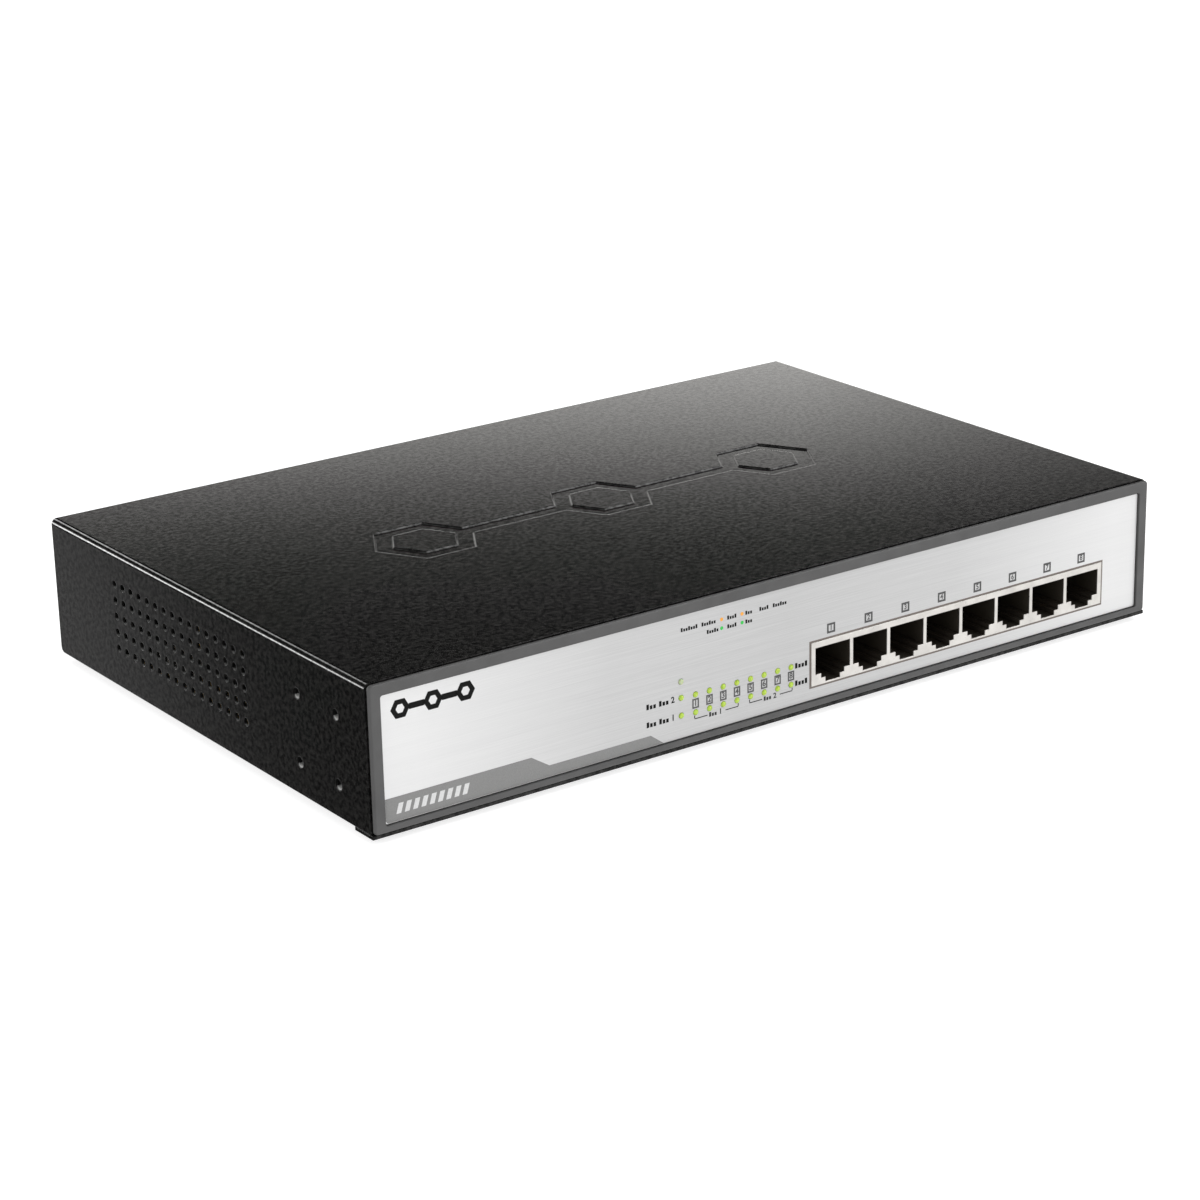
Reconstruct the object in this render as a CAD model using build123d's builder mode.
from build123d import *
import os
from math import cos, hypot, radians, sin, sqrt

# Eight-port desktop network switch with an internal mains supply and two fans.
# Millimetres. X runs right as seen from the front, Y from front to back, Z up from the desk.
# The origin lies on the desk under the centre of the overall footprint.

# Folded steel case
CASE_W = 280.0
CASE_D = 180.0
CASE_H = 43.5
FOOT_H = 2.0
REAR_PROUD = 2.0  # the mains inlet and the screw heads stand behind the case by this much
COVER_T = 0.8
TRAY_T = 1.0
BEND_R = 1.8
GAP = 0.1  # assembly gap between neighbouring pieces
FRONT_Y = -(CASE_D + REAR_PROUD) / 2
REAR_Y = FRONT_Y + CASE_D
TOP_Z = FOOT_H + CASE_H
FLOOR_Z = FOOT_H + TRAY_T
SIDE_X = CASE_W / 2
INNER_X = SIDE_X - COVER_T
CEILING_Z = TOP_Z - COVER_T
COVER_FRONT_Y = FRONT_Y + 1.8
COVER_BACK_Y = REAR_Y - COVER_T
COVER_LOW_Z = FLOOR_Z + GAP
SIDE_CORNER_R = 1.8
COVER_FLANGE_H = 3.0
TAB_W = 12.0
TAB_H = 8.0
COVER_SCREW_X = (-131.0, -25.0, 131.0)
COVER_SCREW_Z = TOP_Z - 7.3

# Side vents and tapped bracket holes
VENT_PITCH = 5.0
VENT_COLUMNS = 16
VENT_ROWS = 5
VENT_R = 1.2
VENT_Y = FRONT_Y + 103.3
VENT_Z = FOOT_H + 23.3
BRACKET_PITCH = 20.0
BRACKET_Y = FRONT_Y + 27.0
BRACKET_Z = FOOT_H + 20.5
BRACKET_R = 1.65
COLLAR_R = 2.6
COLLAR_H = 1.6

# Pressed motif on the lid: three linked hexagon rings
MOTIF_Y = FRONT_Y + 91.5
MOTIF_PITCH = 63.5
MOTIF_R = 16.5
MOTIF_STROKE = 5.5
MOTIF_DEPTH = 0.5
MOTIF_SLOPE = 0.4  # sloped edge of the pressing

# Base tray
TRAY_X = INNER_X - GAP
TRAY_REAR_Y = COVER_BACK_Y - GAP
TRAY_WALL_Y = TRAY_REAR_Y - TRAY_T
TRAY_FLANGE_H = 6.0
LIP_FRONT_Y = FRONT_Y + 0.6
LIP_REAR_Y = FRONT_Y + 9.6
WALL_TOP_Z = CEILING_Z - 0.3

# Front: steel panel, grey bezel frame, silver faceplate
BEZEL_T = 2.4
RECESS = 1.2
PLATE_T = 0.5
PLATE_INSET = 0.3
PANEL_T = 1.0
PANEL_FOOT = 8.6
PANEL_X = TRAY_X - 2.0
BEZEL_BACK_Y = FRONT_Y + BEZEL_T
PANEL_BACK_Y = BEZEL_BACK_Y + PANEL_T
PLATE_BACK_Y = FRONT_Y + RECESS
PLATE_FRONT_Y = PLATE_BACK_Y - PLATE_T
BEZEL_W = 2 * (INNER_X - 0.2)
BEZEL_LOW_Z = FLOOR_Z + 0.15
BEZEL_TOP_Z = CEILING_Z - 0.15
BEZEL_R = 1.2
BEZEL_EDGE_R = 0.7
FLANGE_T = 1.0
FLANGE_W = CASE_W - 0.8
FLANGE_TOP_Z = TOP_Z - 0.3
POCKET_W = 272.4
POCKET_LOW_Z = FOOT_H + 3.1
POCKET_TOP_Z = FOOT_H + 39.9
POCKET_R = 0.8
HOOK_X = (-112.0, -28.0, 44.0, 126.0)
HOOK_W = 4.0
HOOK_T = 1.2
HOOK_Z = (6.2, 39.0)

# Eight-port jack block
PORT_COUNT = 8
PORT_PITCH = 13.97
PORTS_X = 64.6
SHIELD_W = 113.6
SHIELD_LOW_Z = 9.5
SHIELD_TOP_Z = FOOT_H + 20.7
SHIELD_T = 0.3
SHIELD_FRONT_Y = PLATE_FRONT_Y - 0.2
SHIELD_BACK_Y = SHIELD_FRONT_Y + 22.0
PORT_TOP_Z = FOOT_H + 18.9
PORT_STEPS = ((6.4, 10.8, 18.9), (4.3, 9.4, 10.8), (2.7, 8.0, 9.4))  # half width, low, high
PORT_DEPTH = 14.5
CONTACT_PITCH = 1.02
PORT_X = [PORTS_X + PORT_PITCH * (i - (PORT_COUNT - 1) / 2) for i in range(PORT_COUNT)]

# Lights behind the faceplate
LIGHT_PITCH = 4.87
LIGHT_X = [-33.6 + LIGHT_PITCH * i for i in range(PORT_COUNT)]
LINK_Z = FOOT_H + 15.2
POWER_ROW_Z = FOOT_H + 9.9
STATUS_X = -38.6
STATUS_Z = (FOOT_H + 10.1, FOOT_H + 15.4, FOOT_H + 20.2)
PIPE_R = 0.8
PIPE_HOLE_R = 0.9
LIGHT_Y = (FRONT_Y + 8.0, FRONT_Y + 11.0, FRONT_Y + 14.0)  # rows of lights on the board

# Boards
BOARD_T = 1.6
BOARD_Z = 7.8
BOARD_TOP_Z = BOARD_Z + BOARD_T
MAIN_X = (-55.0, 132.0)
MAIN_Y = (PANEL_BACK_Y + 0.4, 60.0)
SUPPLY_X = (-134.0, -64.0)
SUPPLY_Y = (-70.0, 58.0)
STANDOFF_R = 3.1
BOARD_SCREW_R = 1.25
MAIN_POSTS = [(x, y) for x in (-50.0, 127.0) for y in (FRONT_Y + 15.0, 55.0)]
SUPPLY_POSTS = [(x, y) for x in (-130.0, -68.0) for y in (-66.0, 54.0)]

# Places on the main board
MAGNETICS_Y = -54.0
CHIP_AT = (64.0, -14.0)
CHIP_SIZE = 24.0
SINK_SIZE = 34.0
SINK_FIN_H = 10.0
POE_CHIPS_AT = ((12.0, -28.0), (112.0, -28.0))
CRYSTAL_AT = (88.0, 12.0)
MEMORY_AT = (36.0, 12.0)
INDUCTORS_AT = ((-30.0, 20.0), (-12.0, 20.0))
TALL_CANS_AT = ((-32.0, -8.0), (-18.0, -8.0), (-4.0, -8.0))
SMALL_CANS_AT = ((8.0, 22.0), (16.0, 22.0), (24.0, 40.0))
POWER_HEADER_AT = (-48.0, -30.0)
FAN_HEADER_Y = 46.0
FAN_HEADER_OFFSET = -24.0  # from the fan's axis

# Headers: height, depth along Y, number of pins
AC_HEADER = (9.0, 16.0, 3)
DC_HEADER = (9.0, 18.0, 4)
FAN_HEADER = (7.0, 10.0, 3)

# Places on the supply board
AC_HEADER_AT = (-78.0, 44.0)
DC_HEADER_AT = (-70.0, -30.0)
FUSE_X = -128.0
FUSE_Y = 24.0
FUSE_LENGTH = 20.0
X_CAPACITOR_AT = (-114.0, 36.0)
CHOKE_AT = (-94.0, 32.0)
CHOKE_R = (4.5, 9.5)
CHOKE_T = 7.0
CHOKE_TURNS = 9  # on each half of the ring
BRIDGE_AT = (-128.0, 6.0)
BULK_CAN_AT = (-110.0, 8.0)
PRIMARY_SINK_AT = (-88.0, 2.0)
SECONDARY_SINK_AT = (-84.0, -54.0)
SINK_PLATE_T = 3.0
SINK_PLATE_H = 28.0
OPTO_AT = (-82.0, -30.0)
OUTPUT_CANS_AT = ((-126.0, -54.0), (-114.0, -54.0), (-102.0, -54.0))
CORE_X = -108.0
CORE_Y = -28.0
CORE_Z = BOARD_TOP_Z + 4.0
CORE_SIZE = (30.0, 11.0, 25.0)
CORE_LIMB = 4.5  # half the centre limb; also the thickness of the yokes
CORE_WINDOW_X = 11.0

# Mains inlet, earth screw and lock slot on the rear wall
INLET_X = -98.0
INLET_Z = FOOT_H + 22.0
INLET_BODY = (27.0, 19.8)
INLET_FLANGE = (50.0, 22.5)
INLET_MOUTH = (24.6, 16.8)
INLET_SCREW_PITCH = 40.0
INLET_FACE_Y = REAR_Y + REAR_PROUD
INLET_MOUTH_DEPTH = 17.0
INLET_DEPTH = 20.0  # inside the rear wall
INLET_RECESS = 1.9  # counterbores for the screw heads
BLADE_POINTS = ((-7.0, -2.0), (0.0, 2.0), (7.0, -2.0))  # live, earth, neutral
BLADE_T = 2.0
BLADE_H = 4.0
BLADE_RECESS = 5.0
BLADE_LENGTH = 24.0
BLADE_BACK_Y = INLET_FACE_Y - BLADE_RECESS - BLADE_LENGTH
EARTH_X = -60.0
EARTH_Z = FOOT_H + 14.0
LOCK_X = 0.0
LOCK_Z = FOOT_H + 22.0

# Fans: 40 mm frames on the inside of the rear wall
FAN_X = (58.0, 104.0)
FAN_Z = FOOT_H + 21.4
FAN_SIZE = 40.0
FAN_DEPTH = 20.0
FAN_BORE_R = 19.0
FAN_SCREW_PITCH = 32.0
FAN_TUBE_R = 3.4
FAN_BEARING_R = 2.38
FAN_SHAFT_R = 1.0
FAN_RUNNING_GAP = 0.04
FAN_HUB_R = 11.4
FAN_PLATE_T = 2.0
FAN_TUBE_H = 15.0
ROTOR_LOW = 3.2
ROTOR_HIGH = 19.2
SHAFT_HIGH = 18.6
BLADE_COUNT = 7
BLADE_MID = 11.4
GRILLE_PITCH = 4.2
GRILLE_R = 1.6
GRILLE_REACH = 17.4

SCREW_HOLE_R = 1.6
SCREW_R = 1.45
SCREW_HEAD_R = 2.8
SCREW_HEAD_H = 1.8
MIN_Z = (Align.CENTER, Align.CENTER, Align.MIN)
RIGHT = (1, 0, 0)
BACK = (0, 1, 0)
FORWARD = (0, -1, 0)
UP = (0, 0, 1)
DOWN = (0, 0, -1)

os.makedirs("parts", exist_ok=True)


def facing(y):
    """Upright plane at depth y whose normal points out of the front of the switch."""
    return Plane.XZ.offset(-y)


def block(x, y, z, mode=Mode.ADD):
    """Add a box that fills the (low, high) span given on each axis."""
    with Locations((sum(x) / 2, sum(y) / 2, sum(z) / 2)):
        Box(x[1] - x[0], y[1] - y[0], z[1] - z[0], mode=mode)


def around(centre, width):
    """Span of a width centred on a value."""
    return (centre - width / 2, centre + width / 2)


def rod(start, direction, radius, length, mode=Mode.ADD):
    """Add a round rod that starts at a point and runs along a direction."""
    with Locations(Plane(origin=start, z_dir=direction)):
        Cylinder(radius, length, align=MIN_Z, mode=mode)


def pan_screw(face_point, direction, shank_r, shank_length):
    """Add a screw: the head rests on a point, the shank runs along the direction."""
    outward = Vector(*direction) * -1
    rod(face_point, direction, shank_r, shank_length)
    rod(face_point, outward, SCREW_HEAD_R, SCREW_HEAD_H)
    recess = Vector(*face_point) + outward * (SCREW_HEAD_H - 0.8)
    with Locations(Plane(origin=recess, z_dir=outward)):
        Box(3.2, 0.8, 1.0, align=MIN_Z, mode=Mode.SUBTRACT)
        Box(0.8, 3.2, 1.0, align=MIN_Z, mode=Mode.SUBTRACT)


def leaded_package(x, y, size, height, pitch, count, reach, four_sides=False):
    """Add a moulded chip package on the board with flat leads along two or four sides."""
    width, depth = size
    block(around(x, width), around(y, depth), (BOARD_TOP_Z + 0.1, BOARD_TOP_Z + 0.1 + height))
    with Locations((x, y, BOARD_TOP_Z + 0.2)):
        with GridLocations(pitch, 0, count, 1):
            Box(pitch * 0.4, depth + 2 * reach, 0.3)
        if four_sides:
            with GridLocations(0, pitch, 1, count):
                Box(width + 2 * reach, pitch * 0.4, 0.3)


def can_capacitor(x, y, radius, height):
    """Add an upright electrolytic can with a crimp groove and a rounded rim."""
    rod((x, y, BOARD_TOP_Z), UP, radius, height)
    with Locations((x, y, BOARD_TOP_Z + 0.12 * height)):
        Torus(radius + 0.2, 0.6, mode=Mode.SUBTRACT)


def power_package(x, y, low_z, tab_side):
    """Add a leaded power package whose metal tab faces tab_side along X."""
    body = sorted((x, x + 4.4 * -tab_side))
    tab = sorted((x, x + 1.3 * -tab_side))
    block(body, around(y, 10.2), (low_z, low_z + 9.2))
    block(tab, around(y, 10.2), (low_z, low_z + 15.8))
    rod((x - tab_side * 3, y, low_z + 12.8), RIGHT, 1.8, 6.0, Mode.SUBTRACT)
    with Locations((x - 2.4 * tab_side, y, low_z)):
        with GridLocations(0, 2.54, 1, 3):
            Box(0.5, 0.8, 2 * (low_z - BOARD_TOP_Z))


def pin_row(centre, depth, ways):
    """Y of each pin of a header that is depth long."""
    return [centre + (depth - 3.0) / ways * (i - (ways - 1) / 2) for i in range(ways)]


def terminal_header(x, y, width, height, depth, ways):
    """Add a white header: an open-topped shroud with a row of pins along Y."""
    floor_z = BOARD_TOP_Z + 2.5
    top_z = BOARD_TOP_Z + height
    block(around(x, width), around(y, depth), (BOARD_TOP_Z, top_z))
    block(around(x, width - 2.0), around(y, depth - 2.0), (floor_z, top_z), Mode.SUBTRACT)
    for pin_y in pin_row(y, depth, ways):
        block(around(x, 0.7), around(pin_y, 0.7), (floor_z, top_z - 1.5))


def link_motif(grow=0.0):
    """Draw three linked hexagon rings, with every edge moved outwards by grow."""
    with GridLocations(MOTIF_PITCH, 0, 3, 1):
        RegularPolygon(MOTIF_R + grow, 6)
    with GridLocations(MOTIF_PITCH, 0, 2, 1):
        Rectangle(MOTIF_PITCH - 2 * MOTIF_R + MOTIF_STROKE, MOTIF_STROKE + 2 * grow)
    with GridLocations(MOTIF_PITCH, 0, 3, 1):
        RegularPolygon(MOTIF_R - MOTIF_STROKE - grow, 6, mode=Mode.SUBTRACT)


def port_window(margin, mode=Mode.SUBTRACT):
    """Draw the window for the jack block, larger than the block by a margin all round."""
    with Locations((PORTS_X, (SHIELD_LOW_Z + SHIELD_TOP_Z) / 2)):
        Rectangle(SHIELD_W + 2 * margin, SHIELD_TOP_Z - SHIELD_LOW_Z + 2 * margin, mode=mode)


def light_holes(radius, mode=Mode.SUBTRACT):
    """Draw the holes for the port lights and the status lights."""
    with Locations(*[(x, z) for z in (POWER_ROW_Z, LINK_Z) for x in LIGHT_X]):
        Circle(radius, mode=mode)
    with Locations(*[(STATUS_X, z) for z in STATUS_Z]):
        Circle(radius, mode=mode)


def port_openings(mode=Mode.ADD):
    """Draw the stepped, latch-down opening of every port."""
    for half_width, low, high in PORT_STEPS:
        with Locations(*[(x, FOOT_H + (low + high) / 2) for x in PORT_X]):
            Rectangle(2 * half_width, high - low, mode=mode)


def fan_plane(x):
    """Plane on the inside of the rear wall at a fan's axis, with its normal into the case."""
    return Plane(origin=(x, TRAY_WALL_Y, FAN_Z), x_dir=RIGHT, z_dir=FORWARD)


def inlet_plane(y):
    """Plane at depth y on the axis of the mains inlet, with its normal into the case."""
    return Plane(origin=(INLET_X, y, INLET_Z), x_dir=RIGHT, z_dir=FORWARD)


def blade_plane(hub, radius, angle, mid):
    """Plane square to a fan radius at an angle, level with the middle of the blade."""
    turn = radians(angle)
    out = hub.x_dir * cos(turn) + hub.y_dir * sin(turn)
    along = hub.y_dir * cos(turn) - hub.x_dir * sin(turn)
    return Plane(origin=hub.origin + out * radius + hub.z_dir * mid, x_dir=along, z_dir=out)


def grille_points():
    """Hole centres of a triangular lattice within a fan's air circle."""
    steps = range(-6, 7)
    lattice = [
        (GRILLE_PITCH * (column + row % 2 / 2), GRILLE_PITCH * row * sqrt(3) / 2)
        for row in steps
        for column in steps
    ]
    return [point for point in lattice if hypot(*point) <= GRILLE_REACH]


def wire(points, radius):
    """Sweep a round insulated wire along a smooth path through the points."""
    with BuildLine() as path:
        Spline(*points)
    with BuildSketch(Plane(origin=path.line @ 0, z_dir=path.line % 0)) as section:
        Circle(radius)
    with BuildPart(mode=Mode.PRIVATE) as strand:
        sweep(sections=section.sketch, path=path.line)
    return strand.part


# ---------------------------------------------------------------- case

with BuildPart() as top_cover:
    with BuildSketch(facing(REAR_Y)):
        with Locations((0, (COVER_LOW_Z + TOP_Z) / 2)):
            Rectangle(CASE_W, TOP_Z - COVER_LOW_Z)
        fillet(vertices().group_by(Axis.Y)[-1], BEND_R)
    extrude(amount=REAR_Y - COVER_FRONT_Y)
    low_rear_edge = edges().filter_by(Axis.X).group_by(Axis.Z)[0].sort_by(Axis.Y)[-1]
    fillet(low_rear_edge, SIDE_CORNER_R)
    with BuildSketch(facing(COVER_BACK_Y)):
        with Locations((0, (COVER_LOW_Z + CEILING_Z) / 2)):
            Rectangle(2 * INNER_X, CEILING_Z - COVER_LOW_Z)
        fillet(vertices().group_by(Axis.Y)[-1], BEND_R - COVER_T)
    extrude(amount=COVER_BACK_Y - COVER_FRONT_Y, mode=Mode.SUBTRACT)
    # the rear is a short flange with three screw tabs below it
    block(
        (-INNER_X, INNER_X),
        (COVER_BACK_Y, REAR_Y),
        (COVER_LOW_Z, TOP_Z - COVER_FLANGE_H),
        Mode.SUBTRACT,
    )
    with BuildSketch(facing(REAR_Y)):
        with Locations(*[(x, TOP_Z - COVER_FLANGE_H - TAB_H / 2) for x in COVER_SCREW_X]):
            Rectangle(TAB_W, TAB_H)
        fillet(vertices().group_by(Axis.Y)[0], 2.0)
        with Locations(*[(x, COVER_SCREW_Z) for x in COVER_SCREW_X]):
            Circle(SCREW_HOLE_R, mode=Mode.SUBTRACT)
    extrude(amount=COVER_T)
    # the motif is pressed down through the sheet
    with BuildSketch(Plane.XY.offset(CEILING_Z)):
        with Locations((0, MOTIF_Y)):
            link_motif(COVER_T)
    extrude(amount=-MOTIF_DEPTH)
    with BuildSketch(Plane.XY.offset(TOP_Z)):
        with Locations((0, MOTIF_Y)):
            link_motif()
    extrude(amount=-MOTIF_DEPTH, mode=Mode.SUBTRACT)
    lid_edges = top_cover.edges().filter_by_position(Axis.Z, TOP_Z - GAP, TOP_Z + GAP)
    motif_edges = lid_edges.filter_by_position(Axis.X, -1.5 * MOTIF_PITCH, 1.5 * MOTIF_PITCH)
    motif_edges = motif_edges.filter_by_position(Axis.Y, MOTIF_Y - MOTIF_R, MOTIF_Y + MOTIF_R)
    chamfer(motif_edges, MOTIF_SLOPE)
    # tapped bracket holes with burred collars inside
    for side in (-1, 1):
        with BuildSketch(Plane.YZ.offset(side * INNER_X)):
            with Locations((BRACKET_Y, BRACKET_Z)):
                with GridLocations(BRACKET_PITCH, BRACKET_PITCH, 2, 2):
                    Circle(COLLAR_R)
        extrude(amount=-side * COLLAR_H)
    with BuildSketch(Plane.YZ.offset(-SIDE_X)):
        with Locations((BRACKET_Y, BRACKET_Z)):
            with GridLocations(BRACKET_PITCH, BRACKET_PITCH, 2, 2):
                Circle(BRACKET_R)
        with Locations((VENT_Y, VENT_Z)):
            with GridLocations(VENT_PITCH, VENT_PITCH, VENT_COLUMNS, VENT_ROWS):
                Circle(VENT_R)
    extrude(amount=CASE_W, mode=Mode.SUBTRACT)
top_cover.part.label = "top_cover"
export_step(top_cover.part, "parts/top_cover.step")

with BuildPart() as base_tray:
    with BuildSketch(facing(TRAY_REAR_Y)):
        with Locations((0, FOOT_H + TRAY_FLANGE_H / 2)):
            Rectangle(2 * TRAY_X, TRAY_FLANGE_H)
        fillet(vertices().group_by(Axis.Y)[0], BEND_R)
    extrude(amount=TRAY_REAR_Y - LIP_REAR_Y)
    with BuildSketch(facing(TRAY_REAR_Y)):
        with Locations((0, FLOOR_Z + TRAY_FLANGE_H / 2)):
            Rectangle(2 * (TRAY_X - TRAY_T), TRAY_FLANGE_H)
        fillet(vertices().group_by(Axis.Y)[0], BEND_R - TRAY_T)
    extrude(amount=TRAY_REAR_Y - LIP_REAR_Y, mode=Mode.SUBTRACT)
    block((-SIDE_X, SIDE_X), (LIP_FRONT_Y, LIP_REAR_Y), (FOOT_H, FLOOR_Z))
    block(around(0, 2 * (TRAY_X - 1.2)), (TRAY_WALL_Y, TRAY_REAR_Y), (FLOOR_Z, WALL_TOP_Z))
    with BuildSketch(facing(TRAY_REAR_Y)):
        with Locations((INLET_X, INLET_Z)):
            Rectangle(INLET_BODY[0] + 2 * GAP, INLET_BODY[1] + 2 * GAP)
            with GridLocations(INLET_SCREW_PITCH, 0, 2, 1):
                Circle(SCREW_HOLE_R)
        for fan_x in FAN_X:
            with Locations((fan_x, FAN_Z)):
                with Locations(*grille_points()):
                    Circle(GRILLE_R)
                with GridLocations(FAN_SCREW_PITCH, FAN_SCREW_PITCH, 2, 2):
                    Circle(SCREW_HOLE_R)
        with Locations(*[(x, COVER_SCREW_Z) for x in COVER_SCREW_X]):
            Circle(SCREW_HOLE_R)
        with Locations((EARTH_X, EARTH_Z)):
            Circle(SCREW_HOLE_R)
        with Locations((LOCK_X, LOCK_Z)):
            RectangleRounded(7.0, 3.0, 1.0)
    extrude(amount=TRAY_T, mode=Mode.SUBTRACT)
base_tray.part.label = "base_tray"
export_step(base_tray.part, "parts/base_tray.step")

with BuildPart() as rubber_feet:
    with BuildSketch(Plane.XY.offset(FOOT_H)):
        with GridLocations(236.0, 140.0, 2, 2):
            Circle(6.5)
    extrude(amount=-FOOT_H, taper=12)
rubber_feet.part.label = "rubber_feet"
export_step(rubber_feet.part, "parts/rubber_feet.step")

with BuildPart() as cover_screws:
    for x in COVER_SCREW_X:
        pan_screw((x, REAR_Y, COVER_SCREW_Z), FORWARD, SCREW_R, 6.0)
cover_screws.part.label = "cover_screws"
export_step(cover_screws.part, "parts/cover_screws.step")

with BuildPart() as ground_screw:
    rod((EARTH_X, TRAY_REAR_Y, EARTH_Z), BACK, 4.0, 0.8)
    pan_screw((EARTH_X, TRAY_REAR_Y + 0.8, EARTH_Z), FORWARD, SCREW_R, 8.0)
ground_screw.part.label = "ground_screw"
export_step(ground_screw.part, "parts/ground_screw.step")

# ---------------------------------------------------------------- front

with BuildPart() as front_panel:
    panel_height = BEZEL_TOP_Z - FLOOR_Z
    panel_depth = PANEL_FOOT
    with BuildSketch(Plane.YZ.offset(-PANEL_X)):
        with Locations((BEZEL_BACK_Y + panel_depth / 2, FLOOR_Z + panel_height / 2)):
            Rectangle(panel_depth, panel_height)
        fillet(vertices().group_by(Axis.X)[0], BEND_R)
    extrude(amount=2 * PANEL_X)
    with BuildSketch(Plane.YZ.offset(-PANEL_X)):
        with Locations((PANEL_BACK_Y + panel_depth / 2, FLOOR_Z + panel_height / 2)):
            Rectangle(panel_depth, panel_height - 2 * PANEL_T)
        fillet(vertices().group_by(Axis.X)[0], BEND_R - PANEL_T)
    extrude(amount=2 * PANEL_X, mode=Mode.SUBTRACT)
    with BuildSketch(facing(PANEL_BACK_Y)):
        port_window(0.4, Mode.ADD)
        light_holes(PIPE_HOLE_R + GAP, Mode.ADD)
        with Locations(*[(x, z) for x in HOOK_X for z in HOOK_Z]):
            Rectangle(HOOK_W + 0.4, HOOK_T + 0.6)
    extrude(amount=PANEL_T, mode=Mode.SUBTRACT)
front_panel.part.label = "front_panel"
export_step(front_panel.part, "parts/front_panel.step")

with BuildPart() as front_bezel:
    with BuildSketch(facing(BEZEL_BACK_Y)):
        with Locations((0, (BEZEL_LOW_Z + BEZEL_TOP_Z) / 2)):
            RectangleRounded(BEZEL_W, BEZEL_TOP_Z - BEZEL_LOW_Z, BEZEL_R)
    extrude(amount=BEZEL_T)
    # a flange at the front hides the cut edge of the cover
    with BuildSketch(facing(FRONT_Y + FLANGE_T)):
        with Locations((0, (BEZEL_LOW_Z + FLANGE_TOP_Z) / 2)):
            RectangleRounded(FLANGE_W, FLANGE_TOP_Z - BEZEL_LOW_Z, BEZEL_R)
    extrude(amount=FLANGE_T)
    fillet(faces().sort_by(Axis.Y)[0].edges(), BEZEL_EDGE_R)
    with BuildSketch(facing(PLATE_BACK_Y)):
        with Locations((0, (POCKET_LOW_Z + POCKET_TOP_Z) / 2)):
            RectangleRounded(POCKET_W, POCKET_TOP_Z - POCKET_LOW_Z, POCKET_R)
    extrude(amount=RECESS, mode=Mode.SUBTRACT)
    with BuildSketch(facing(BEZEL_BACK_Y)):
        port_window(0.4, Mode.ADD)
        light_holes(PIPE_HOLE_R, Mode.ADD)
    extrude(amount=BEZEL_T, mode=Mode.SUBTRACT)
    # hooks that snap behind the steel panel
    for x in HOOK_X:
        for z, outward in zip(HOOK_Z, (-1, 1)):
            barb = sorted((z + outward * HOOK_T / 2, z + outward * (HOOK_T / 2 + 0.5)))
            block(
                around(x, HOOK_W), (BEZEL_BACK_Y, PANEL_BACK_Y + 1.3), around(z, HOOK_T)
            )
            block(around(x, HOOK_W), (PANEL_BACK_Y + GAP, PANEL_BACK_Y + 1.3), barb)
front_bezel.part.label = "front_bezel"
export_step(front_bezel.part, "parts/front_bezel.step")

with BuildPart() as faceplate:
    with BuildSketch(facing(PLATE_BACK_Y)):
        with Locations((0, (POCKET_LOW_Z + POCKET_TOP_Z) / 2)):
            plate_height = POCKET_TOP_Z - POCKET_LOW_Z - 2 * PLATE_INSET
            RectangleRounded(POCKET_W - 2 * PLATE_INSET, plate_height, POCKET_R - PLATE_INSET)
        port_window(0.3)
        light_holes(PIPE_HOLE_R)
    extrude(amount=PLATE_T)
faceplate.part.label = "faceplate"
export_step(faceplate.part, "parts/faceplate.step")

# ---------------------------------------------------------------- jack block

with BuildPart() as rj45_shield:
    shield_x = around(PORTS_X, SHIELD_W)
    block(shield_x, (SHIELD_FRONT_Y, SHIELD_BACK_Y), (SHIELD_LOW_Z, SHIELD_TOP_Z))
    block(
        around(PORTS_X, SHIELD_W - 2 * SHIELD_T),
        (SHIELD_FRONT_Y + SHIELD_T, SHIELD_BACK_Y - SHIELD_T),
        (SHIELD_LOW_Z, SHIELD_TOP_Z - SHIELD_T),
        Mode.SUBTRACT,
    )
    with BuildSketch(facing(SHIELD_FRONT_Y + SHIELD_T)):
        port_openings()
    extrude(amount=SHIELD_T, mode=Mode.SUBTRACT)
rj45_shield.part.label = "rj45_shield"
export_step(rj45_shield.part, "parts/rj45_shield.step")

HOUSING_FRONT_Y = SHIELD_FRONT_Y + SHIELD_T + 0.05
CONTACT_SLOT_Z = PORT_TOP_Z + 0.9
with BuildPart() as rj45_housing:
    block(
        around(PORTS_X, SHIELD_W - 2 * SHIELD_T - 0.1),
        (HOUSING_FRONT_Y, SHIELD_BACK_Y - SHIELD_T - 0.05),
        (SHIELD_LOW_Z, SHIELD_TOP_Z - SHIELD_T - 0.05),
    )
    with BuildSketch(facing(HOUSING_FRONT_Y + PORT_DEPTH)):
        port_openings()
    extrude(amount=PORT_DEPTH, mode=Mode.SUBTRACT)
    # a slot over each cavity holds the roots of the contact wires
    for x in PORT_X:
        block(
            around(x, 9.4),
            (HOUSING_FRONT_Y + 1.2, HOUSING_FRONT_Y + PORT_DEPTH),
            (PORT_TOP_Z, CONTACT_SLOT_Z),
            Mode.SUBTRACT,
        )
    for x in (PORT_X[0] + PORT_PITCH / 2, PORT_X[-1] - PORT_PITCH / 2):
        rod((x, SHIELD_BACK_Y - 8.0, SHIELD_LOW_Z), DOWN, 1.4, 2.4)
rj45_housing.part.label = "rj45_housing"
export_step(rj45_housing.part, "parts/rj45_housing.step")

with BuildPart() as contact_wire:
    with BuildSketch(Plane.YZ) as contact_profile:
        with BuildLine():
            root_z = CONTACT_SLOT_Z - 0.2
            Polyline(
                (HOUSING_FRONT_Y + PORT_DEPTH, root_z),
                (HOUSING_FRONT_Y + 2.4, root_z),
                (HOUSING_FRONT_Y + 1.8, root_z - 0.7),
                (HOUSING_FRONT_Y + 10.5, root_z - 3.2),
            )
        trace(line_width=0.35)
    extrude(amount=0.22, both=True)

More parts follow.
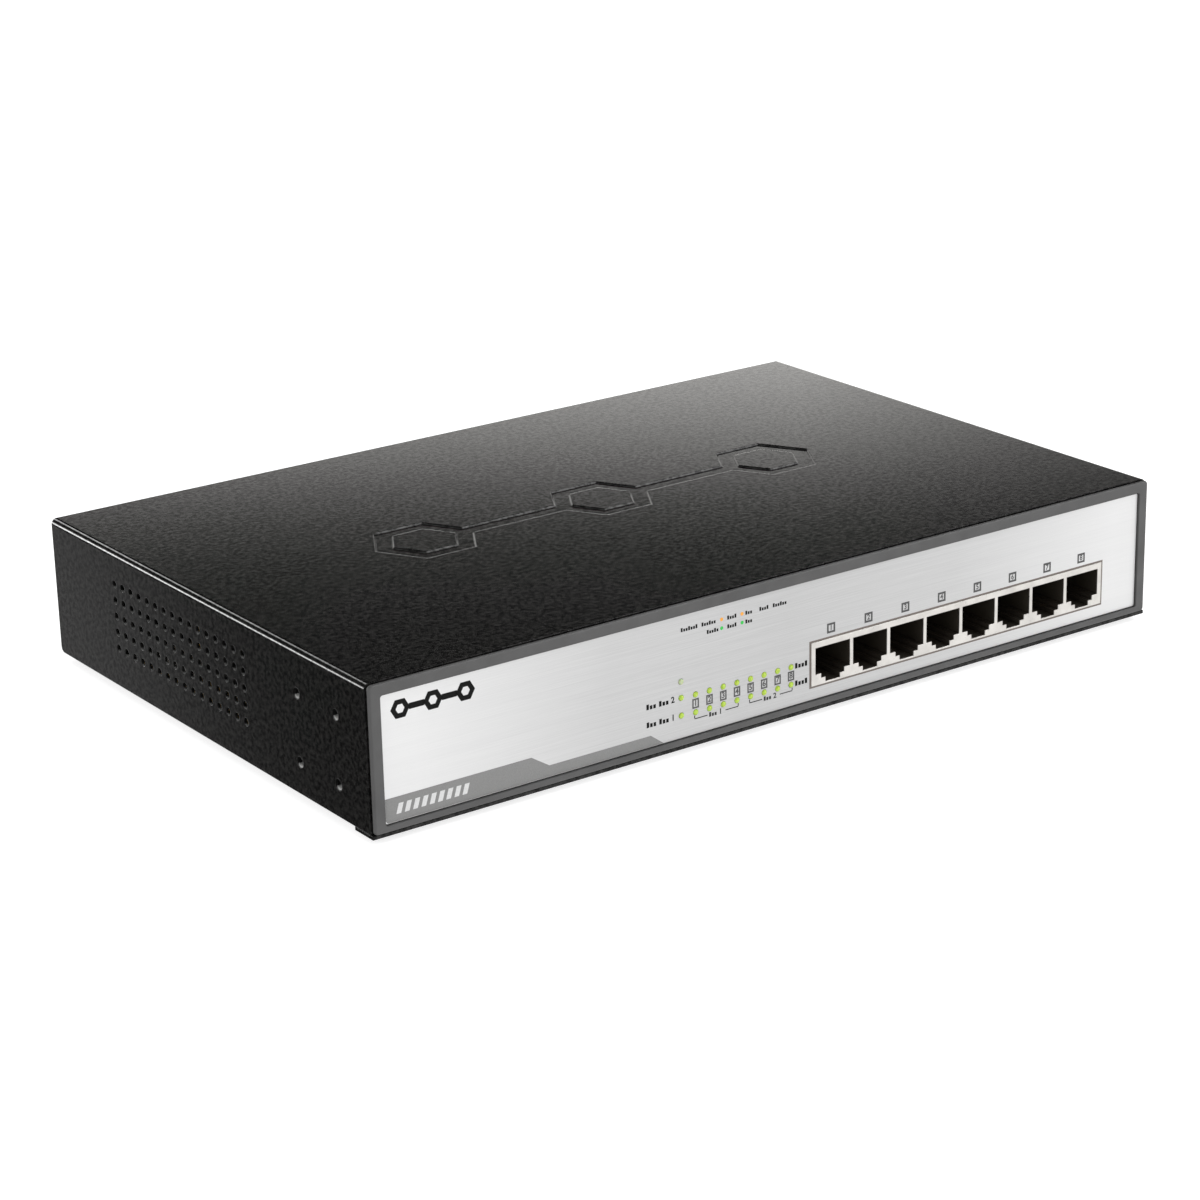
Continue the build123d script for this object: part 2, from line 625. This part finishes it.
with BuildPart() as rj45_contacts:
    with Locations(*[(x, 0, 0) for x in PORT_X]):
        with GridLocations(CONTACT_PITCH, 0, 8, 1):
            add(contact_wire.part)
rj45_contacts.part.label = "rj45_contacts"
export_step(rj45_contacts.part, "parts/rj45_contacts.step")

# ---------------------------------------------------------------- boards and posts

with BuildPart() as main_pcb:
    block(MAIN_X, MAIN_Y, (BOARD_Z, BOARD_TOP_Z))
    for x, y in MAIN_POSTS:
        rod((x, y, BOARD_Z), UP, SCREW_HOLE_R, BOARD_T, Mode.SUBTRACT)
    for x in (PORT_X[0] + PORT_PITCH / 2, PORT_X[-1] - PORT_PITCH / 2):
        rod((x, SHIELD_BACK_Y - 8.0, BOARD_Z), UP, 1.5, BOARD_T, Mode.SUBTRACT)
main_pcb.part.label = "main_pcb"
export_step(main_pcb.part, "parts/main_pcb.step")

with BuildPart() as psu_pcb:
    block(SUPPLY_X, SUPPLY_Y, (BOARD_Z, BOARD_TOP_Z))
    for x, y in SUPPLY_POSTS:
        rod((x, y, BOARD_Z), UP, SCREW_HOLE_R, BOARD_T, Mode.SUBTRACT)
psu_pcb.part.label = "psu_pcb"
export_step(psu_pcb.part, "parts/psu_pcb.step")

with BuildPart() as psu_insulator:
    block(SUPPLY_X, (SUPPLY_Y[0] - 1.0, SUPPLY_Y[1] + 2.0), (FLOOR_Z, FLOOR_Z + 0.4))
    for x, y in SUPPLY_POSTS:
        rod((x, y, FLOOR_Z), UP, STANDOFF_R + 0.6, 0.4, Mode.SUBTRACT)
psu_insulator.part.label = "psu_insulator"
export_step(psu_insulator.part, "parts/psu_insulator.step")

with BuildPart() as standoffs:
    with BuildSketch(Plane.XY.offset(FLOOR_Z)):
        with Locations(*(MAIN_POSTS + SUPPLY_POSTS)):
            RegularPolygon(STANDOFF_R, 6)
            Circle(BOARD_SCREW_R + 0.05, mode=Mode.SUBTRACT)
    extrude(amount=BOARD_Z - FLOOR_Z)
standoffs.part.label = "standoffs"
export_step(standoffs.part, "parts/standoffs.step")

with BuildPart() as board_screws:
    for x, y in MAIN_POSTS + SUPPLY_POSTS:
        pan_screw((x, y, BOARD_TOP_Z), DOWN, BOARD_SCREW_R, 5.4)
board_screws.part.label = "board_screws"
export_step(board_screws.part, "parts/board_screws.step")

# ---------------------------------------------------------------- lights

with BuildPart() as indicator_leds:
    for row_y in LIGHT_Y[:2]:
        for x in LIGHT_X:
            block(around(x, 1.6), around(row_y, 1.0), (BOARD_TOP_Z, BOARD_TOP_Z + 0.7))
    for row_y in LIGHT_Y:
        block(around(STATUS_X, 1.6), around(row_y, 1.0), (BOARD_TOP_Z, BOARD_TOP_Z + 0.7))
indicator_leds.part.label = "indicator_leds"
export_step(indicator_leds.part, "parts/indicator_leds.step")


def light_pipe(x, z, light_y):
    """Add an elbowed light pipe from a light on the board to the faceplate."""
    tip_y = PLATE_FRONT_Y - 0.15
    rod((x, tip_y, z), BACK, PIPE_R, light_y + PIPE_R - tip_y)
    rod((x, light_y, BOARD_TOP_Z + 0.9), UP, PIPE_R, z - BOARD_TOP_Z - 0.9)


with BuildPart() as port_light_pipes:
    for z, light_y in zip((POWER_ROW_Z, LINK_Z), LIGHT_Y):
        for x in LIGHT_X:
            light_pipe(x, z, light_y)
        bar_y = (FRONT_Y + 5.0, FRONT_Y + 6.2)
        block((LIGHT_X[0] - 0.6, LIGHT_X[-1] + 0.6), bar_y, around(z, 1.2))
port_light_pipes.part.label = "port_light_pipes"
export_step(port_light_pipes.part, "parts/port_light_pipes.step")

with BuildPart() as status_light_pipes:
    for z, light_y in zip(STATUS_Z, LIGHT_Y):
        light_pipe(STATUS_X, z, light_y)
    block(
        around(STATUS_X, 1.2),
        (FRONT_Y + 5.0, FRONT_Y + 6.2),
        (STATUS_Z[0], STATUS_Z[-1]),
    )
status_light_pipes.part.label = "status_light_pipes"
export_step(status_light_pipes.part, "parts/status_light_pipes.step")

# ---------------------------------------------------------------- main board parts

with BuildPart() as lan_transformers:
    for i in range(4):
        x = (PORT_X[2 * i] + PORT_X[2 * i + 1]) / 2
        leaded_package(x, MAGNETICS_Y, (24.0, 12.0), 6.0, 1.6, 12, 2.0)
lan_transformers.part.label = "lan_transformers"
export_step(lan_transformers.part, "parts/lan_transformers.step")

with BuildPart() as switch_chip:
    leaded_package(*CHIP_AT, (CHIP_SIZE, CHIP_SIZE), 1.6, 0.8, 28, 1.2, four_sides=True)
switch_chip.part.label = "switch_chip"
export_step(switch_chip.part, "parts/switch_chip.step")

with BuildPart() as switch_heatsink:
    sink_z = BOARD_TOP_Z + 1.7
    block(around(CHIP_AT[0], SINK_SIZE), around(CHIP_AT[1], SINK_SIZE), (sink_z, sink_z + 2.5))
    with Locations((*CHIP_AT, sink_z + 2.5)):
        with GridLocations(SINK_SIZE / 8.5, 0, 9, 1):
            Box(1.2, SINK_SIZE, SINK_FIN_H, align=MIN_Z)
switch_heatsink.part.label = "switch_heatsink"
export_step(switch_heatsink.part, "parts/switch_heatsink.step")

with BuildPart() as poe_controllers:
    for x, y in POE_CHIPS_AT:
        leaded_package(x, y, (10.0, 10.0), 1.0, 0.8, 11, 1.0, four_sides=True)
poe_controllers.part.label = "poe_controllers"
export_step(poe_controllers.part, "parts/poe_controllers.step")

with BuildPart() as clock_crystal:
    with BuildSketch(Plane.XY.offset(BOARD_TOP_Z)):
        with Locations(CRYSTAL_AT):
            RectangleRounded(11.4, 4.6, 2.2)
    extrude(amount=3.4)
    fillet(faces().sort_by(Axis.Z)[-1].edges(), 0.5)
clock_crystal.part.label = "clock_crystal"
export_step(clock_crystal.part, "parts/clock_crystal.step")

with BuildPart() as memory_chip:
    leaded_package(*MEMORY_AT, (5.0, 4.0), 1.5, 1.27, 4, 1.0)
memory_chip.part.label = "memory_chip"
export_step(memory_chip.part, "parts/memory_chip.step")

with BuildPart() as buck_inductors:
    with BuildSketch(Plane.XY.offset(BOARD_TOP_Z)):
        with Locations(*INDUCTORS_AT):
            RectangleRounded(12.0, 12.0, 2.5)
    extrude(amount=6.0)
    fillet(faces().filter_by(Axis.Z).group_by(Axis.Z)[-1].edges(), 0.6)
buck_inductors.part.label = "buck_inductors"
export_step(buck_inductors.part, "parts/buck_inductors.step")

with BuildPart() as board_capacitors:
    for x, y in TALL_CANS_AT:
        can_capacitor(x, y, 5.0, 16.0)
    for x, y in SMALL_CANS_AT:
        can_capacitor(x, y, 3.1, 8.0)
board_capacitors.part.label = "board_capacitors"
export_step(board_capacitors.part, "parts/board_capacitors.step")

with BuildPart() as power_header:
    terminal_header(*POWER_HEADER_AT, 8.0, *DC_HEADER)
power_header.part.label = "power_header"
export_step(power_header.part, "parts/power_header.step")

with BuildPart() as fan_headers:
    for x in FAN_X:
        terminal_header(x + FAN_HEADER_OFFSET, FAN_HEADER_Y, 5.8, *FAN_HEADER)
fan_headers.part.label = "fan_headers"
export_step(fan_headers.part, "parts/fan_headers.step")

# ---------------------------------------------------------------- power supply

with BuildPart() as psu_ac_header:
    terminal_header(*AC_HEADER_AT, 8.0, *AC_HEADER)
psu_ac_header.part.label = "psu_ac_header"
export_step(psu_ac_header.part, "parts/psu_ac_header.step")

with BuildPart() as psu_dc_header:
    terminal_header(*DC_HEADER_AT, 8.0, *DC_HEADER)
psu_dc_header.part.label = "psu_dc_header"
export_step(psu_dc_header.part, "parts/psu_dc_header.step")

with BuildPart() as fuse:
    fuse_z = BOARD_TOP_Z + 3.6
    rod((FUSE_X, FUSE_Y, fuse_z), BACK, 2.4, FUSE_LENGTH)
    for end_y in (FUSE_Y, FUSE_Y + FUSE_LENGTH - 5.0):
        rod((FUSE_X, end_y, fuse_z), BACK, 2.8, 5.0)
        block(around(FUSE_X, 3.0), (end_y + 1.0, end_y + 4.0), (BOARD_TOP_Z, fuse_z))
fuse.part.label = "fuse"
export_step(fuse.part, "parts/fuse.step")

with BuildPart() as x_capacitor:
    x, y = X_CAPACITOR_AT
    block(around(x, 9.0), around(y, 18.0), (BOARD_TOP_Z, BOARD_TOP_Z + 16.0))
    fillet(edges().filter_by(Axis.Z), 0.8)
    fillet(faces().sort_by(Axis.Z)[-1].edges(), 0.8)
x_capacitor.part.label = "x_capacitor"
export_step(x_capacitor.part, "parts/x_capacitor.step")

CHOKE = Plane(origin=(*CHOKE_AT, BOARD_TOP_Z + 12.0), x_dir=RIGHT, z_dir=FORWARD)
with BuildPart() as line_choke_core:
    with BuildSketch(CHOKE):
        Circle(CHOKE_R[1])
        Circle(CHOKE_R[0], mode=Mode.SUBTRACT)
    extrude(amount=CHOKE_T / 2, both=True)
line_choke_core.part.label = "line_choke_core"
export_step(line_choke_core.part, "parts/line_choke_core.step")

with BuildPart() as line_choke_winding:
    ring_w = CHOKE_R[1] - CHOKE_R[0] + 0.2
    for start in (0.0, 180.0):
        for i in range(CHOKE_TURNS):
            turn = start + 14.0 * (i - (CHOKE_TURNS - 1) / 2)
            section = blade_plane(CHOKE, sum(CHOKE_R) / 2, turn, 0.0).rotated((0, 90, 0))
            with BuildSketch(section):
                Rectangle(ring_w + 1.8, CHOKE_T + 2.0)
                Rectangle(ring_w, CHOKE_T + 0.2, mode=Mode.SUBTRACT)
            extrude(amount=0.4, both=True)
line_choke_winding.part.label = "line_choke_winding"
export_step(line_choke_winding.part, "parts/line_choke_winding.step")

with BuildPart() as bridge_rectifier:
    x, y = BRIDGE_AT
    block(around(x, 4.0), around(y, 22.0), (BOARD_TOP_Z + 4.0, BOARD_TOP_Z + 20.0))
    chamfer(edges().filter_by(Axis.X).group_by(Axis.Z)[-1].sort_by(Axis.Y)[0], 3.0)
    with Locations((x, y, BOARD_TOP_Z)):
        with GridLocations(0, 5.0, 1, 4):
            Box(0.8, 1.2, 5.0, align=MIN_Z)
bridge_rectifier.part.label = "bridge_rectifier"
export_step(bridge_rectifier.part, "parts/bridge_rectifier.step")

with BuildPart() as bulk_capacitor:
    can_capacitor(*BULK_CAN_AT, 11.0, 31.0)
bulk_capacitor.part.label = "bulk_capacitor"
export_step(bulk_capacitor.part, "parts/bulk_capacitor.step")


def finned_sink(x, y, length, fin_side):
    """Add an upright heatsink plate along Y with short fins on one side."""
    block(around(x, SINK_PLATE_T), around(y, length), (BOARD_TOP_Z, BOARD_TOP_Z + SINK_PLATE_H))
    with Locations((x + fin_side * 4.0, y, BOARD_TOP_Z)):
        with GridLocations(0, length / 6, 1, 5):
            Box(5.4, 1.2, SINK_PLATE_H, align=MIN_Z)


with BuildPart() as primary_heatsink:
    finned_sink(*PRIMARY_SINK_AT, 36.0, 1)
primary_heatsink.part.label = "primary_heatsink"
export_step(primary_heatsink.part, "parts/primary_heatsink.step")

with BuildPart() as power_mosfet:
    x, y = PRIMARY_SINK_AT
    power_package(x - SINK_PLATE_T / 2, y, BOARD_TOP_Z + 4.0, 1)
power_mosfet.part.label = "power_mosfet"
export_step(power_mosfet.part, "parts/power_mosfet.step")

with BuildPart() as main_transformer_core:
    core_w, core_d, core_h = CORE_SIZE
    window_z = (CORE_Z + CORE_LIMB, CORE_Z + core_h - CORE_LIMB)
    block(around(CORE_X, core_w), around(CORE_Y, core_d), (CORE_Z, CORE_Z + core_h))
    for side in (-1, 1):
        window_x = sorted((CORE_X + side * CORE_LIMB, CORE_X + side * CORE_WINDOW_X))
        block(window_x, around(CORE_Y, core_d), window_z, Mode.SUBTRACT)
main_transformer_core.part.label = "main_transformer_core"
export_step(main_transformer_core.part, "parts/main_transformer_core.step")

with BuildPart() as main_transformer_winding:
    with BuildSketch(Plane.XY.offset(window_z[0] + 0.5)):
        with Locations((CORE_X, CORE_Y)):
            RectangleRounded(2 * CORE_WINDOW_X - 1.0, core_d + 13.0, 4.0)
            Rectangle(2 * CORE_LIMB + 0.4, core_d + 0.4, mode=Mode.SUBTRACT)
    extrude(amount=window_z[1] - window_z[0] - 1.0)
main_transformer_winding.part.label = "main_transformer_winding"
export_step(main_transformer_winding.part, "parts/main_transformer_winding.step")

with BuildPart() as main_transformer_bobbin:
    block(around(CORE_X, core_w), around(CORE_Y, core_d + 15.0), (BOARD_TOP_Z + 1.0, CORE_Z))
    with Locations((CORE_X, CORE_Y, BOARD_TOP_Z)):
        with GridLocations(5.0, 22.0, 5, 2):
            Cylinder(0.5, 1.5, align=MIN_Z)
main_transformer_bobbin.part.label = "main_transformer_bobbin"
export_step(main_transformer_bobbin.part, "parts/main_transformer_bobbin.step")

with BuildPart() as optocoupler:
    leaded_package(*OPTO_AT, (6.5, 4.6), 3.4, 2.54, 2, 1.6)
optocoupler.part.label = "optocoupler"
export_step(optocoupler.part, "parts/optocoupler.step")

with BuildPart() as secondary_heatsink:
    finned_sink(*SECONDARY_SINK_AT, 26.0, 1)
secondary_heatsink.part.label = "secondary_heatsink"
export_step(secondary_heatsink.part, "parts/secondary_heatsink.step")

with BuildPart() as output_rectifier:
    x, y = SECONDARY_SINK_AT
    power_package(x - SINK_PLATE_T / 2, y, BOARD_TOP_Z + 4.0, 1)
output_rectifier.part.label = "output_rectifier"
export_step(output_rectifier.part, "parts/output_rectifier.step")

with BuildPart() as output_capacitors:
    for x, y in OUTPUT_CANS_AT:
        can_capacitor(x, y, 5.0, 20.0)
output_capacitors.part.label = "output_capacitors"
export_step(output_capacitors.part, "parts/output_capacitors.step")

# ---------------------------------------------------------------- mains inlet


def inlet_outline(size, cut):
    """Draw the inlet's outline: a rectangle with its two upper corners cut off."""
    Rectangle(*size)
    chamfer(vertices().group_by(Axis.Y)[-1], cut)


with BuildPart() as ac_inlet:
    with BuildSketch(inlet_plane(INLET_FACE_Y)):
        RectangleRounded(*INLET_FLANGE, 5.0)
    extrude(amount=INLET_FACE_Y - TRAY_REAR_Y)
    with BuildSketch(inlet_plane(TRAY_REAR_Y)):
        inlet_outline(INLET_BODY, 3.0)
    extrude(amount=INLET_DEPTH)
    with BuildSketch(inlet_plane(INLET_FACE_Y)):
        inlet_outline(INLET_MOUTH, 4.5)
    extrude(amount=INLET_MOUTH_DEPTH, mode=Mode.SUBTRACT)
    with BuildSketch(inlet_plane(INLET_FACE_Y)):
        with Locations(*BLADE_POINTS):
            Rectangle(BLADE_T + 0.1, BLADE_H + 0.1)
    extrude(amount=INLET_FACE_Y - TRAY_REAR_Y + INLET_DEPTH, mode=Mode.SUBTRACT)
    with Locations(inlet_plane(INLET_FACE_Y)):
        with GridLocations(INLET_SCREW_PITCH, 0, 2, 1):
            Cylinder(SCREW_HEAD_R + 0.2, 2 * INLET_RECESS, mode=Mode.SUBTRACT)
            Cylinder(SCREW_HOLE_R, 4 * REAR_PROUD, mode=Mode.SUBTRACT)
ac_inlet.part.label = "ac_inlet"
export_step(ac_inlet.part, "parts/ac_inlet.step")

with BuildPart() as inlet_pins:
    with BuildSketch(inlet_plane(INLET_FACE_Y - BLADE_RECESS)):
        with Locations(*BLADE_POINTS):
            Rectangle(BLADE_T, BLADE_H)
    extrude(amount=BLADE_LENGTH)
    fillet(faces().sort_by(Axis.Y)[-3:].edges(), 0.6)
inlet_pins.part.label = "inlet_pins"
export_step(inlet_pins.part, "parts/inlet_pins.step")

# ---------------------------------------------------------------- fans

with BuildPart() as fan_frames:
    for x in FAN_X:
        hub = fan_plane(x)
        with BuildSketch(hub):
            RectangleRounded(FAN_SIZE, FAN_SIZE, 2.5)
            Circle(FAN_BORE_R, mode=Mode.SUBTRACT)
        extrude(amount=FAN_DEPTH)
        # motor plate on four struts at the outlet side
        with BuildSketch(hub):
            Circle(FAN_HUB_R)
            with PolarLocations(FAN_BORE_R - 3.5, 4, start_angle=45):
                Rectangle(9.0, 2.6)
        extrude(amount=FAN_PLATE_T)
        with BuildSketch(hub):
            Circle(FAN_TUBE_R)
        extrude(amount=FAN_TUBE_H)
        with BuildSketch(hub.offset(FAN_PLATE_T)):
            Circle(FAN_BEARING_R + 0.02)
        extrude(amount=FAN_TUBE_H - FAN_PLATE_T, mode=Mode.SUBTRACT)
        with BuildSketch(hub):
            with GridLocations(FAN_SCREW_PITCH, FAN_SCREW_PITCH, 2, 2):
                Circle(SCREW_HOLE_R)
        extrude(amount=FAN_DEPTH, mode=Mode.SUBTRACT)
fan_frames.part.label = "fan_frames"
export_step(fan_frames.part, "parts/fan_frames.step")

with BuildPart() as fan_bearings:
    for x in FAN_X:
        with BuildSketch(fan_plane(x).offset(FAN_PLATE_T + 0.2)):
            Circle(FAN_BEARING_R)
            Circle(FAN_SHAFT_R + FAN_RUNNING_GAP, mode=Mode.SUBTRACT)
        extrude(amount=FAN_TUBE_H - FAN_PLATE_T - 0.4)
fan_bearings.part.label = "fan_bearings"
export_step(fan_bearings.part, "parts/fan_bearings.step")

with BuildPart() as fan_stators:
    for x in FAN_X:
        with BuildSketch(fan_plane(x).offset(FAN_PLATE_T + 1.0)):
            Circle(8.6)
            with PolarLocations(8.0, 4):
                Rectangle(6.8, 2.2, mode=Mode.SUBTRACT)
            Circle(FAN_TUBE_R + 0.05, mode=Mode.SUBTRACT)
        extrude(amount=9.0)
fan_stators.part.label = "fan_stators"
export_step(fan_stators.part, "parts/fan_stators.step")

with BuildPart() as rear_wall_screws:
    for fan_x in FAN_X:
        for x in around(fan_x, FAN_SCREW_PITCH):
            for z in around(FAN_Z, FAN_SCREW_PITCH):
                pan_screw((x, TRAY_REAR_Y, z), FORWARD, SCREW_R, 9.0)
    for x in around(INLET_X, INLET_SCREW_PITCH):
        pan_screw((x, INLET_FACE_Y - INLET_RECESS, INLET_Z), FORWARD, SCREW_R, 8.0)
rear_wall_screws.part.label = "rear_wall_screws"
export_step(rear_wall_screws.part, "parts/rear_wall_screws.step")

for name, x in zip(("left", "right"), FAN_X):
    hub = fan_plane(x)
    with BuildPart() as fan_rotor:
        with BuildSketch(hub.offset(ROTOR_LOW)):
            Circle(FAN_HUB_R)
        extrude(amount=ROTOR_HIGH - ROTOR_LOW)
        fillet(edges().filter_by(GeomType.CIRCLE).sort_by(Axis.Y)[0], 1.0)
        with BuildSketch(hub.offset(ROTOR_LOW)):
            Circle(FAN_HUB_R - 1.2)
        extrude(amount=ROTOR_HIGH - ROTOR_LOW - 1.8, mode=Mode.SUBTRACT)
        with BuildSketch(hub.offset(FAN_TUBE_H + 0.3)):
            Circle(2.6)
        extrude(amount=ROTOR_HIGH - FAN_TUBE_H - 1.0)
        with BuildSketch(hub.offset(FAN_TUBE_H + 0.3)):
            Circle(FAN_SHAFT_R + 0.01)
        extrude(amount=SHAFT_HIGH - FAN_TUBE_H - 0.3, mode=Mode.SUBTRACT)
        for i in range(BLADE_COUNT):
            angle = 360.0 * i / BLADE_COUNT
            with BuildSketch(blade_plane(hub, FAN_HUB_R - 0.6, angle, BLADE_MID)):
                Rectangle(11.5, 1.3, rotation=52)
            with BuildSketch(blade_plane(hub, FAN_BORE_R - 1.5, angle, BLADE_MID)):
                Rectangle(13.5, 0.9, rotation=36)
            loft()
    fan_rotor.part.label = f"fan_rotor_{name}"
    export_step(fan_rotor.part, f"parts/fan_rotor_{name}.step")

    with BuildPart() as fan_shaft:
        with BuildSketch(hub.offset(FAN_PLATE_T + 0.4)):
            Circle(FAN_SHAFT_R)
        extrude(amount=SHAFT_HIGH - FAN_PLATE_T - 0.4)
    fan_shaft.part.label = f"fan_shaft_{name}"
    export_step(fan_shaft.part, f"parts/fan_shaft_{name}.step")

# ---------------------------------------------------------------- wiring

SUPPLY_WIRE_R = 0.8
FAN_WIRE_R = 0.6
LOOP_H = 8.0  # how far a harness rises over its headers
BLADE_EXIT_Y = BLADE_BACK_Y - 0.5


def behind_blade(pin):
    """First two points of a lead that leaves the back of an inlet blade."""
    x, z = INLET_X + pin[0], INLET_Z + pin[1]
    return [(x, BLADE_EXIT_Y, z), (x, BLADE_EXIT_Y - 4.0, z)]


with BuildPart() as ac_leads:
    header_x, header_y = AC_HEADER_AT
    pins = pin_row(header_y, *AC_HEADER[1:])
    for blade, y in zip((BLADE_POINTS[0], BLADE_POINTS[2]), (pins[0], pins[2])):
        wire_end_z = BOARD_TOP_Z + AC_HEADER[0] + 0.5
        over = [(header_x, y, wire_end_z + LOOP_H / 2), (header_x, y, wire_end_z)]
        add(wire(behind_blade(blade) + over, SUPPLY_WIRE_R))
ac_leads.part.label = "ac_leads"
export_step(ac_leads.part, "parts/ac_leads.step")

with BuildPart() as earth_lead:
    screw_end = (EARTH_X, TRAY_WALL_Y - 8.0, EARTH_Z)
    midway = (EARTH_X - 12.0, BLADE_EXIT_Y + 2.0, INLET_Z + 4.0)
    add(wire(behind_blade(BLADE_POINTS[1]) + [midway, screw_end], SUPPLY_WIRE_R))
earth_lead.part.label = "earth_lead"
export_step(earth_lead.part, "parts/earth_lead.step")

with BuildPart() as dc_harness:
    low = BOARD_TOP_Z + DC_HEADER[0] - 1.0
    for y in pin_row(DC_HEADER_AT[1], *DC_HEADER[1:]):
        left, right = DC_HEADER_AT[0], POWER_HEADER_AT[0]
        path = [(left, y, low), (left + 2.0, y, low + LOOP_H)]
        path += [(right - 2.0, y, low + LOOP_H), (right, y, low)]
        add(wire(path, SUPPLY_WIRE_R))
dc_harness.part.label = "dc_harness"
export_step(dc_harness.part, "parts/dc_harness.step")

with BuildPart() as fan_leads:
    low = BOARD_TOP_Z + FAN_HEADER[0] - 1.0
    for x in FAN_X:
        for i, y in enumerate(pin_row(FAN_HEADER_Y, *FAN_HEADER[1:])):
            header = (x + FAN_HEADER_OFFSET, y, low)
            above = (x + FAN_HEADER_OFFSET + 1.0, y + 1.0, low + LOOP_H)
            frame_side = x - FAN_SIZE / 2 - FAN_WIRE_R - 0.2
            frame = (frame_side, TRAY_WALL_Y - FAN_DEPTH + 4.0 + 1.6 * i, FAN_Z + 6.0)
            add(wire([header, above, frame], FAN_WIRE_R))
fan_leads.part.label = "fan_leads"
export_step(fan_leads.part, "parts/fan_leads.step")
